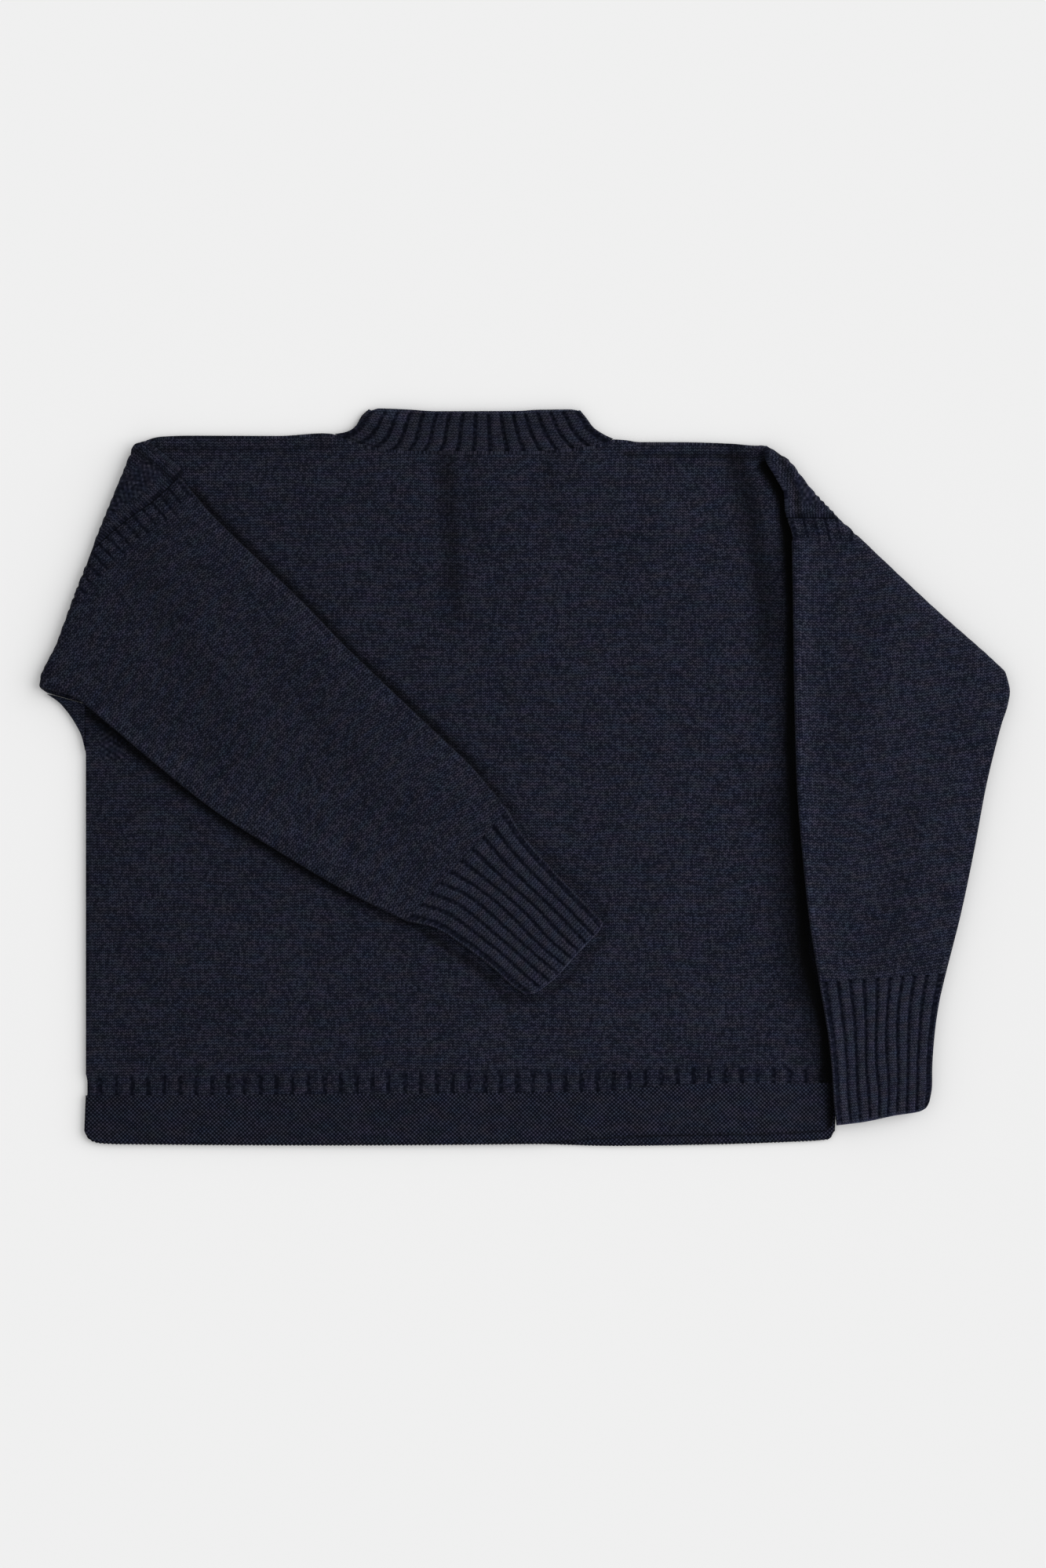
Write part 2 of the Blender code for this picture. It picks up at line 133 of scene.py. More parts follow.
# Sleeves on the flat: reach out from the side of the body, y of the top edge, y of the bottom edge
SLEEVE = {
    -1: ((33.0, 286.5, 71.5), (46.0, 284.5, 79.5), (74.0, 283.2, 91.2), (160.0, 281.0, 94.5),
         (210.0, 277.6, 97.5), (298.0, 275.4, 112.0), (350.0, 274.4, 123.0), (405.3, 267.6, 138.6)),
    1: ((19.0, 264.5, 66.0), (66.0, 266.8, 73.0), (132.0, 270.4, 85.0), (147.0, 271.2, 89.2),
        (160.6, 271.8, 87.4), (174.0, 272.4, 90.3), (187.0, 272.9, 95.6), (200.0, 273.4, 100.2),
        (240.0, 274.6, 112.8), (293.0, 273.6, 126.5), (345.0, 271.6, 141.0), (398.0, 266.8, 158.2)),
}
# Cuffs: reach of the top edge and of the bottom edge, then their y
CUFF = {
    -1: ((405.2, 405.2, 267.6, 138.6), (430.0, 430.0, 260.4, 151.6), (454.0, 454.0, 257.0, 155.8),
         (488.0, 488.0, 254.0, 158.6), (512.0, 508.0, 252.6, 158.4), (530.8, 522.0, 251.0, 160.0)),
    1: ((397.9, 397.9, 266.8, 158.2), (424.0, 424.0, 264.0, 166.0), (451.0, 451.0, 261.8, 171.6),
        (477.0, 477.0, 261.0, 175.2), (500.0, 494.0, 261.2, 176.6), (521.0, 506.0, 260.2, 179.5)),
}
# Cuff ends: share of the width from the bottom edge up, and how far the end bows out of its straight line
CUFF_END = {
    -1: ((0.0, 0.0), (0.12, 6.2), (0.3, 7.4), (0.6, 5.1), (0.9, 3.0), (1.0, 0.0)),
    1: ((0.0, 0.0), (0.05, 4.8), (0.12, 6.2), (0.4, 4.2), (0.65, 3.4), (1.0, 0.0)),
}
CUFF_END_LENGTH = 20.0
# Gusset's outer edge, from the sleeve to the body: reach, y; then where its inner edge ends, from those
GUSSET_EDGE = {
    -1: ((33.4, 70.6), (22.5, 62.8), (10.2, 47.0), (3.4, 33.5), (0.6, GUSSET_FOOT)),
    1: ((33.4, 66.6), (22.5, 59.8), (10.2, 46.0), (3.4, 33.5), (0.6, GUSSET_FOOT)),
}
GUSSET_SLEEVE_END = (-4.5, -0.8)
GUSSET_BODY_END = (0.0, 4.0)
# Folds of the sleeves: two points of the axis, and how far the folded edge bows out, by distance along it
FOLDS = {
    -1: {"from": (-342.6, 261.3), "to": (-399.5, 113.9),
         "bow": ((0.0, 0.0), (70.0, 1.2), (120.0, 1.1), (158.0, 0.0), (172.0, 1.4), (187.0, 2.8),
                 (200.0, 0.0))},
    1: {"from": (255.7, 234.5), "to": (399.1, 100.5),
        "bow": ((-74.0, 0.0), (-60.0, 4.0), (-46.0, 6.0), (-30.0, 3.4), (-12.0, 0.8), (40.0, -1.3),
                (120.0, -1.8), (190.0, 0.0))},
}
BOW_REACH = 45.0                           # how far in from the folded edge the bow is felt
SHARP = math.radians(72)                   # edges that are sharper than this are not smoothed

# Fineness of the grids, in mm
BODY_STEP = 3.0
BACK_STEP = 4.0
SLEEVE_STEP = 2.8
RIB_STEP = 1.15
CUFF_ROW_STEP = 1.4 * RIB_STEP
COLLAR_ROWS = 27
WELT_STEP = {"welt_front": 0.95, "welt_back": 1.6}
WELT_ROWS_LENGTH = 50.0                    # length that its rows are counted for
GUSSET_ROWS = 25
GUSSET_COLUMNS = 12
GUSSET_FIRST_COLUMN = 0.2                  # share of its width
GUSSET_NARROW = (0.9, 0.95)                # shares that its edge and that column may take in at its points

# Ribs and seams, in mm
RIB_HEIGHT = 1.4
CUFF_RIBS = 10                             # across one face of a flattened cuff
COLLAR_RIBS = 17
RIB_WANDER = 0.4                           # stitches that a rib strays sideways
RIB_WANDER_LENGTH = 90.0
RIB_WANDER_TURNS = 1.3
ROLL_WIDTH = 2.2                           # rolled last row of a ribbed tube
ROLL_FILL = 0.8                            # share of the hollows that it fills
# painted light on the rolled last row
ROLL_LIGHT = 0.25
HEM_RIB_PITCH = 13.7
HEM_RIB_TOP = ((0.0, 16.5), (0.6, 19.0), (0.8, 15.0), (1.0, 14.0))     # above the welt seam
HEM_RIB_EASE = (-2.5, 1.0)                 # where it fades out, from its top
HEAD_RIB_PITCH = 9.3
HEAD_RIB_LENGTH = 20.0
HEAD_RIB_EASE = (-2.0, 1.5)
HEAD_RIB_DEPTH = 0.8                       # share of a rib's height
GARTER_HEIGHT = 0.7
WELT_RIM_WIDTH = 1.2
WELT_RIM_DEPTH = 0.8
WELT_RIM_SHADE = 0.3
SCALLOP = 0.8                              # bumps along a welt's lower edge
SCALLOP_REACH = 0.03                       # share of the welt's length over which they fade
SEAM_DEPTH = 0.7
SEAM_WIDTH = 2.2
NO_SEAM = 50.0                             # distance that stands for none near
TOP_OF_TWO = MID                           # height between two layers that lie on the floor
TOP_OF_FOUR = 2 * FOLD_RADIUS - MID        # the same for the two layers of a folded sleeve
STRAP_WIDTH = 11.0                         # of the shoulder straps, with a furrow below them
STRAP_FURROW_WIDTH = 1.6
STRAP_FURROW_DEPTH = 0.5
STRAP_FURROW_SHADE = 0.35
MOSS_INSET = (12.0, 32.0)                  # band of moss stitch beside the armholes
MOSS_FOOT = 14.0
TUBE_EDGE_SHADE = 0.4                      # at the folded edges of sleeves, cuffs and collar
TUBE_EDGE_EASE = (0.7, 1.0)                # how far an edge has turned from the flat where it sets in
CREASE_FADE = 0.6                          # how much of a crease is lost towards its end
CREASE_FADE_FROM = 0.75                    # share of its length

# Soft swellings of the top layer: x, y, half width, half length, height
SWELLS = {
    "body_front": ((-40.0, 120.0, 190.0, 120.0, 1.6), (60.0, -60.0, 150.0, 150.0, 1.8),
                   (-60.0, -200.0, 200.0, 55.0, 1.5), (150.0, 200.0, 90.0, 60.0, 1.2)),
    "sleeve_left": ((-250.0, 110.0, 110.0, 120.0, 1.8), (-90.0, 10.0, 110.0, 70.0, 1.6)),
    "sleeve_right": ((300.0, 80.0, 60.0, 150.0, 1.8), (300.0, -120.0, 50.0, 120.0, 1.6)),
}
# Creases of the top layer, and painted shade along paths: points of a path, half width, height (a trough's is
# negative), painted shade in it (a negative one is painted light)
SHOULDER_VALLEY = ((205.5, 266.0), (214.2, 252.6), (221.6, 236.5), (223.4, 219.8), (227.0, 193.6),
                   (228.4, 158.0))
SLEEVE_VALLEY = ((228.4, 158.0), (227.0, 26.8), (240.0, -154.0), (257.0, -218.0), (266.0, -400.0))
CREASES_AND_SHADE = {
    "body_front": (
        (((-68.0, 279.0), (-62.0, 200.0), (-60.0, 130.0)), 8.0, -0.5, 0.30),      # below the collar, with painted shade
        (((-46.0, 279.0), (-38.0, 190.0)), 7.0, -0.4, 0.12),
        (((20.0, 279.0), (27.0, 205.0)), 8.0, -0.4, 0.10),
        (((178.7, 276.0), (190.0, 240.0), (197.0, 204.0), (203.5, 158.0), (209.0, 90.0)), 9.0, -0.5, 0.42),
        # painted shadow in the valley beside the right sleeve
        (SHOULDER_VALLEY, 4.2, -0.5, 1.5),
        (SHOULDER_VALLEY + SLEEVE_VALLEY[1:], 4.0, -0.4, 1.5),
        (SHOULDER_VALLEY[-2:] + SLEEVE_VALLEY[1:], 13.0, 0.3, 0.32),
        (((232.0, -20.0), (238.0, -154.0), (252.0, -215.0)), 22.0, 0.3, 0.40),
        (((-283.0, 243.5), (-250.0, 209.0), (-200.0, 162.0), (-150.0, 110.0), (-100.0, 63.0), (-50.0, 16.5),
          (-5.0, -35.0)), 3.4, -0.4, 0.60),                                       # painted shade beside the left sleeve
        (((-372.0, 54.0), (-300.0, -4.5), (-250.0, -41.5), (-200.0, -72.0), (-150.0, -101.0),
          (-100.0, -126.0)), 4.2, -0.4, 0.75),
        (((-100.0, -122.0), (-41.0, -162.5), (-15.0, -187.0)), 3.4, -0.3, 0.45),   # painted shade around the left cuff
        (((-15.0, -187.0), (3.0, -190.0), (22.0, -187.5), (66.0, -141.0), (71.0, -123.0)), 3.4, -0.3, 0.22),
        (((71.0, -123.0), (66.0, -112.0), (27.0, -75.0), (5.0, -49.0)), 3.4, -0.3, 0.20),
    ),
    "body_back": (
        (((-70.0, 279.0), (-62.0, 190.0)), 9.0, 0.5, 0.25),
        (((60.0, 270.0), (90.0, 150.0)), 14.0, 0.5, 0.2),
        (((-200.0, 40.0), (-150.0, -90.0)), 16.0, 0.5, 0.2),
    ),
    "welt_front": (
        (((261.5, -250.0), (264.0, -400.0)), 4.0, 0.0, 0.9),                      # painted shadow beside the right cuff
    ),
    "sleeve_left": (
        (((-372.0, 55.0), (-240.0, -28.0), (-110.0, -95.0)), 7.0, 1.2, -0.06),    # rounded lower edge, with painted light
        (((-290.0, 235.0), (-150.0, 92.0), (-20.0, -40.0)), 8.0, 1.2, -0.04),     # rounded upper edge, with painted light
        (((-330.0, 180.0), (-250.0, 40.0)), 16.0, -0.7, 0.08),
        (((-210.0, 90.0), (-110.0, -20.0)), 18.0, -0.6, 0.07),
    ),
    "sleeve_right": (
        (((234.0, 190.0), (234.0, 20.0), (246.0, -150.0), (262.0, -215.0)), 9.0, 3.0, -0.08),   # inner edge, with painted light
        (((300.0, 140.0), (268.0, 20.0)), 18.0, -0.7, 0.06),
        (((330.0, -20.0), (300.0, -190.0)), 16.0, -0.6, 0.06),
    ),
    "collar": (
        # painted shade over the whole collar
        (((-152.0, 300.0), (62.0, 299.0)), 30.0, 0.0, 0.09),
        (((-160.0, 291.0), (-128.0, 285.0)), 6.0, 0.0, 0.10),                     # shadows of its rolled ends
        (((74.0, 288.0), (44.0, 285.0)), 6.0, 0.0, 0.10),
        # painted light at the left of its rim
        (((-128.0, 309.0), (-96.0, 306.0)), 5.0, 0.0, -0.20),
    ),
    "cuff_right": (
        # raised edge, with painted light
        (((262.0, -215.0), (268.0, -300.0)), 8.0, 2.4, -0.08),
    ),
    "cuff_left": (
        # rounded edge, with painted light
        (((-20.0, -40.0), (60.0, -118.0)), 8.0, 1.2, -0.04),
    ),
}
PAINTED_SIDE_SHADE = 0.06                                # painted shade: how much more shade the left side has than the middle; the right side is painted lighter

# Light and camera, in metres and degrees
FLOOR_DROP = 0.0005
CAMERA_TARGET = (-0.0012, -0.0059)
CAMERA_DISTANCE = 3.162
LENS = 85.0
SENSOR = 36.0
SUN = {"azimuth": 14.0, "elevation": 32.0, "spread": 58.0, "strength": 2.2}
SKY = 0.73
FLOOR_SIZE = 14.0
FLOOR_LOOK = {"Base Color": (0.79, 0.79, 0.79, 1.0), "Roughness": 0.9, "Specular IOR Level": 0.0}
PAPER_WHITE = (1.0, 1.0, 1.0, 1.0)

# Wool, linear colours; the ramp's dark end also stands for painted shade in the stitches' furrows, its light
# end for painted light on their crests
YARN_DARK = (0.0013, 0.0018, 0.0052, 1.0)
YARN_MID = (0.0077, 0.0089, 0.0177, 1.0)
YARN_LIGHT = (0.0278, 0.0297, 0.0460, 1.0)
RED_TINT = 0.85                            # how far patches stray in red and in blue
BLUE_TINT = 0.62
WOOL_LOOK = {"Roughness": 0.92, "Specular IOR Level": 0.06, "Sheen Weight": 0.02, "Sheen Roughness": 0.5,
             "Sheen Tint": (0.75, 0.8, 1.0, 1.0)}
STITCH_RELIEF = 0.4                        # mm
YARN_RELIEF = 0.4                          # share of it that the yarn's own bumps have
# How much each thing moves a stitch between the dark and the light yarn: contrast, by the stitches' height,
# paints shade into their furrows and light onto their crests; hollow paints shade into the ribs' hollows;
# speck, yarn, streak and patch are the yarn's own colour
PLAIN = {"contrast": 1.14, "level": -0.215, "speck": 0.58, "yarn": 0.60, "streak": 0.12, "patch": 0.22,
         "hollow": 0.36}
RIBBED = {"contrast": 1.12, "level": -0.08, "speck": 0.46, "yarn": 0.52, "streak": 0.1, "patch": 0.22,
          "hollow": 0.46}
KNOTTED = {"contrast": 2.4, "level": -0.90, "speck": 0.52, "yarn": 0.58, "streak": 0.1, "patch": 0.22}
COURSE_WAVE = 2.6                          # courses and wales that the rows stray from straight
WALE_WAVE = 1.5
# Noises: how many to a stitch in their first and second direction, and how many finer ones are laid on them
NOISES = {
    "wale_wave": (0.03, 0.02, 4.0), "course_wave": (0.04, 0.02, 4.0),
    "yarn": (1.35, 1.1, 1.0), "streak": (0.09, 0.7, 1.0), "patch": (0.06, 0.045, 3.0),
    "red": (0.16, 0.3, 2.0), "blue": (0.34, 0.19, 2.0),
}
LEG_DEPTH = 0.46                           # of the furrow beside each of a stitch's two legs
STRAND_DEPTH = 0.95                        # of the furrow between one course and the next
LEG_SLANT = 0.54                           # courses that a leg rises in its width
PURL_HEIGHT = (0.5, 0.3)                   # purled stitches: height of their knots, and of what is below
RIB_EDGE = (0.06, 0.44)                    # where a rib's hollow ends, as shares of half a rib
SEAM_EDGE = (0.2, 1.4)                     # where a seam's dark line ends, in mm
SHADE = 2.2                                # how fast shade darkens: light falls as e to the power -SHADE
SEAM_SHADE = 0.32


def curve(rows, at):
    """Smooth curve through a table, read at an array of its first column: gives its other columns."""
    table = np.array(rows, float)
    where, values = table[:, 0], table[:, 1:]
    at = np.clip(np.asarray(at, float), where[0], where[-1])
    step = np.diff(where)[:, None]
    rise = np.diff(values, axis=0) / step
    before, after = rise[:-1], rise[1:]
    same_way = before * after > 0
    slope = np.vstack((rise[:1], np.zeros_like(before), rise[-1:]))
    slope[1:-1][same_way] = (2 * before * after)[same_way] / (before + after)[same_way]
    k = np.clip(np.searchsorted(where, at, side="right") - 1, 0, len(where) - 2)
    length = step[k]
    t = ((at - where[k]) / length[..., 0])[..., None]
    return ((2 * t**3 - 3 * t**2 + 1) * values[k] + (t**3 - 2 * t**2 + t) * length * slope[k]
            + (3 * t**2 - 2 * t**3) * values[k + 1] + (t**3 - t**2) * length * slope[k + 1])


def smooth(low, high, value):
    """0 below low, 1 above high, eased between them."""
    t = np.clip((value - low) / (high - low), 0.0, 1.0)
    return t * t * (3 - 2 * t)


def by_width(points):
    """Give a line's points their share of its width: rows of share, x, y and whatever follows."""
    first, last = points[0][0], points[-1][0]
    return [((x[0] - first) / (last - first), *x) for x in points]


def spans(length, step):
    """How many steps cover a length."""
    return max(int(math.ceil(length / step)), 2)


def rib_wave(stitches):
    """Height of a two-by-two rib from 0 to 1, where its stitches are counted from the middle of a ridge."""
    wave = 0.5 + 0.5 * np.cos(2 * math.pi * stitches / STITCHES_A_RIB)
    return smooth(0.05, 0.5, wave)


def groove(distance):
    """Depth of a seam's furrow from 0 to 1 at a distance from it."""
    return np.exp(-(distance / SEAM_WIDTH) ** 2)


def ring(across):
    """Points around a flattened tube: share of the width, which end it belongs to, and its normal."""
    ends = np.zeros_like(ARC)
    share = np.concatenate((ends, np.linspace(TUBE_EDGE_SHARE, 1 - TUBE_EDGE_SHARE, across), ends + 1))
    toward = np.concatenate((ends + 1, np.zeros(across), ends - 1))
    flat = np.concatenate((np.cos(ARC), np.zeros(across), np.cos(ARC[::-1])))
    rise = np.concatenate((np.sin(ARC), np.ones(across), np.sin(ARC[::-1])))
    back = slice(-2, 0, -1)
    return [np.concatenate((values, sign * values[back]))
            for values, sign in ((share, 1), (toward, 1), (flat, 1), (rise, -1))]


def tube(first, last, across, radius, bow):
    """Grid of points on a flattened tube, from its two edge lines; radius may differ from point to point.

    bow gives how far points shift, by their share of the width.
    """
    share, toward, flat, rise = ring(across)
    run = last - first
    width = np.linalg.norm(run, axis=1)[:, None]
    offset = toward * (EDGE_RADIUS - radius * flat)
    place = share + offset / width
    xy = first[:, None, :] + run[:, None, :] * place[..., None] + bow(place)
    return np.dstack((xy, MID + radius * rise))


def edge_shade(across):
    """Shade around a flattened tube: dark right at its two edges."""
    _, toward, flat, _ = ring(across)
    return TUBE_EDGE_SHADE * np.abs(toward) * smooth(*TUBE_EDGE_EASE, flat)


def around(across, width):
    """Distance around a flattened tube from its last edge, one column more than it has points."""
    share, toward, flat, _ = ring(across)
    lower = np.arange(len(share)) > across + 2 * len(ARC) - 1
    distance = (1 - share) * width[:, None] - toward * EDGE_RADIUS * np.arccos(flat)
    return np.hstack((distance * np.where(lower, 1, -1), width[:, None]))


def fold_over(points, fold):
    """Bend what lies beyond a fold's axis up and over, on top of the rest, and bow the fold's edge."""
    start, end = np.array(fold["from"]), np.array(fold["to"])
    along = (end - start) / np.linalg.norm(end - start)
    outward = np.array((-along[1], along[0]))
    if outward @ (start - (BODY_CENTRE, 0.0)) < 0:
        outward = -outward
    bend = 2 * FOLD_RADIUS
    xy, z = points[:, :2], points[:, 2]
    distance = (xy - start) @ outward + FOLD_RADIUS
    beyond = distance > 0
    angle = np.pi * np.clip(distance / bend, 0, 1)
    radius = FOLD_RADIUS - z
    out = radius * np.sin(angle) - np.maximum(distance - bend, 0)
    xy = np.where(beyond[:, None], xy + outward * (out - distance)[:, None], xy)
    z = np.where(beyond, FOLD_RADIUS - radius * np.cos(angle), z)
    offset = xy - start
    weight = np.clip(1 + offset @ outward / BOW_REACH, 0, 1) ** 2
    xy = xy + outward * (curve(fold["bow"], offset @ along)[:, 0] * weight)[:, None]
    return np.column_stack((xy, z))


def from_path(path, x, y):
    """Distance of points from a path, and the share of its length where they are nearest."""
    path = np.array(path)
    lengths = np.linalg.norm(np.diff(path, axis=0), axis=1)
    ends = np.concatenate(([0.0], np.cumsum(lengths))) / lengths.sum()
    nearest, share = np.full_like(x, np.inf), np.zeros_like(x)
    for start, end, length, low, high in zip(path[:-1], path[1:], lengths, ends[:-1], ends[1:]):
        run = (end - start) / length
        along = np.clip((x - start[0]) * run[0] + (y - start[1]) * run[1], 0.0, length)
        distance = np.hypot(x - start[0] - along * run[0], y - start[1] - along * run[1])
        closer = distance < nearest
        share = np.where(closer, low + (high - low) * along / length, share)
        nearest = np.where(closer, distance, nearest)
    return nearest, share


def relief(name, x, y):
    """Height of the top layer's swellings and creases, in mm, and the shade painted in them."""
    height, shade = np.zeros_like(x), np.zeros_like(x)
    for middle_x, middle_y, half_width, half_length, rise in SWELLS.get(name, ()):
        reach = ((x - middle_x) / half_width) ** 2 + ((y - middle_y) / half_length) ** 2
        height += rise * np.clip(1 - reach, 0, 1) ** 2
    for path, half_width, rise, dark in CREASES_AND_SHADE.get(name, ()):
        distance, share = from_path(path, x, y)
        across = np.exp(-(distance / half_width) ** 2)
        across = across * (1 - CREASE_FADE * smooth(CREASE_FADE_FROM, 1.0, share))
        height += rise * across
        shade += dark * across
    return height, shade


def lie(name, grid, top_from):
    """Fold a grid of pattern points and lift its top layer's relief: its place in metres, and its painted
    shade.

    top_from is the height above which a point is in the top layer.
    """
    points = grid.reshape(-1, 3)
    for fold in FOLDS.values():
        points = fold_over(points, fold)
    top = smooth(top_from - LAYER_GAP / 2, top_from + LAYER_GAP / 2, points[:, 2])
    height, shade = relief(name, points[:, 0], points[:, 1])
    points[:, 2] = np.maximum(points[:, 2] + top * height, 0.0)
    # painted shade, darker towards the left and lighter towards the right
    side_shade = -PAINTED_SIDE_SHADE * points[:, 0] / SIDE[1]
    return (points - FOOTPRINT_MIDDLE) * MM, top * shade + side_shade


def shell_faces(stitches, rows, columns, closed):
    """Faces of a closed shell between two grids, and the UV map of their corners."""
    count = rows * columns
    j, k = np.meshgrid(np.arange(rows - 1), np.arange(columns if closed else columns - 1), indexing="ij")
    j, k = j.ravel(), k.ravel()
    m = (k + 1) % columns
    skin = np.stack((j * columns + k, j * columns + m, (j + 1) * columns + m, (j + 1) * columns + k), 1)
    skin_uv = np.stack((stitches[j, k], stitches[j, k + 1], stitches[j + 1, k + 1], stitches[j + 1, k]), 1)
    faces, uvs = [skin, skin[:, ::-1] + count], [skin_uv, skin_uv[:, ::-1]]
    span = np.arange(columns if closed else columns - 1)
    after = (span + 1) % columns
    for row in (0, rows - 1):
        base = row * columns
        faces.append(np.stack((base + span, base + span + count, base + after + count, base + after), 1))
        here, there = stitches[row, span], stitches[row, span + 1]
        uvs.append(np.stack((here, here, there, there), 1))
    if not closed:
        up = np.arange(rows - 1)
        for column in (0, columns - 1):
            here, there = up * columns + column, (up + 1) * columns + column
            faces.append(np.stack((here, there, there + count, here + count), 1))
            low, high = stitches[up, column], stitches[up + 1, column]
            uvs.append(np.stack((low, high, high, low), 1))
    return np.vstack(faces), np.vstack(uvs)


def add_fields(data, shape, lay_shade, fields):
    """Point attributes that the wool draws: the same on both skins, with the shade of the folded layers."""
    for label, default, extra in (("shade", 0.0, lay_shade), ("moss", 0.0, 0.0), ("band", 0.0, 0.0),
                                  ("from_seam", NO_SEAM, 0.0)):
        values = np.broadcast_to(fields.get(label, default), shape)
        attribute = data.attributes.new(label, "FLOAT", "POINT")
        attribute.data.foreach_set("value", (np.tile(values.ravel(), 2) + extra).astype(np.float32))


def cloth(name, outside, inside, stitches, closed, material, top_from, **fields):
    """Closed thin shell between two grids; stitches is its UV map, and its material draws the fields."""
    rows, columns = outside.shape[:2]
    laid = [lie(name, grid, top_from) for grid in (outside, inside)]
    vertices = np.vstack([place for place, _ in laid])
    faces, uvs = shell_faces(stitches, rows, columns, closed)
    data = bpy.data.meshes.new(name + "_cloth")
    data.from_pydata(vertices.tolist(), [], faces.tolist())
    data.uv_layers.new(name="stitches").data.foreach_set("uv", uvs.reshape(-1))
    add_fields(data, (rows, columns), np.concatenate([dark for _, dark in laid]), fields)
    mesh = bmesh.new()
    mesh.from_mesh(data)
    bmesh.ops.recalc_face_normals(mesh, faces=mesh.faces)
    mesh.to_mesh(data)
    mesh.free()
    data.shade_smooth()
    data.set_sharp_from_angle(angle=SHARP)
    data.materials.append(material)
    piece = bpy.data.objects.new(name + "_cloth", data)
    bpy.context.collection.objects.link(piece)
    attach(piece, "root")
    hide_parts(name)
    return piece


def cut_size(grid):
    """Width, length and area of a pattern grid, in metres."""
    flat = grid[..., :2] * MM
    one, two = flat[1:, 1:] - flat[:-1, :-1], flat[1:, :-1] - flat[:-1, 1:]
    area = float(np.abs(one[..., 0] * two[..., 1] - one[..., 1] * two[..., 0]).sum() / 2)
    low, high = flat.reshape(-1, 2).min(0), flat.reshape(-1, 2).max(0)
    width, length = (high - low).tolist()
    return width, length, area


def armhole_x(side, y):
    """X of the body's side at a height: straight below the armpit, along the armhole's seam above it."""
    share = (y - ARMPIT) / (SLEEVE_TOP[side] - ARMPIT)
    return SIDE[side] + side * curve(ARMHOLE[side], share)[..., 0] * (share > 0)


def neck_rows():
    """Edge of the neck: share of its width, y."""
    return [(share, y) for share, _, y in by_width(
        [(x, y) for x, y, _ in TOP_LINE if NECK_ENDS[0] <= x <= NECK_ENDS[1]])]


def body_top(share):
    """Body's top line at shares of its width: y, and how much it is a shoulder."""
    ends = {side: float(armhole_x(side, np.array(SHOULDER_END[side]))) for side in SIDE}
    line = ((ends[-1], SHOULDER_END[-1], 1), *TOP_LINE, (ends[1], SHOULDER_END[1], 1))
    y_top, shoulder = curve([(at, y, is_shoulder) for at, _, y, is_shoulder in by_width(line)], share).T
    x_top = ends[-1] + share * (ends[1] - ends[-1])
    at_neck = (x_top > NECK_ENDS[0]) & (x_top < NECK_ENDS[1])
    neck_share = (x_top - NECK_ENDS[0]) / (NECK_ENDS[1] - NECK_ENDS[0])
    return np.where(at_neck, curve(neck_rows(), neck_share)[:, 0], y_top), smooth(0.3, 0.7, shoulder)


def body_columns(step):
    """Columns of the body's grid: share of its width, which edge rounds off and the angle around it."""
    middle = np.linspace(BODY_EDGE_SHARE, 1 - BODY_EDGE_SHARE, spans(BODY_WIDTH, step))
    arc, none = np.zeros_like(ARC), np.zeros_like(middle)
    share = np.concatenate((arc, middle, arc + 1))
    toward = np.concatenate((arc + 1, none, arc - 1))
    angle = np.concatenate((ARC, none, ARC[::-1]))
    return share, toward, angle


def body_rows(step):
    """Rows of the body's grid: share of its height, and the angle around its top edge, -1 below that."""
    height = SHOULDER_END[-1] - WELT_SEAM[0][1]
    lift = np.concatenate((np.linspace(0, 1, spans(height, step))[:-1], np.ones_like(ARC)))[:, None]
    top_angle = np.concatenate((np.full(len(lift) - len(ARC), -1.0), ARC[::-1]))[:, None]
    return lift, top_angle


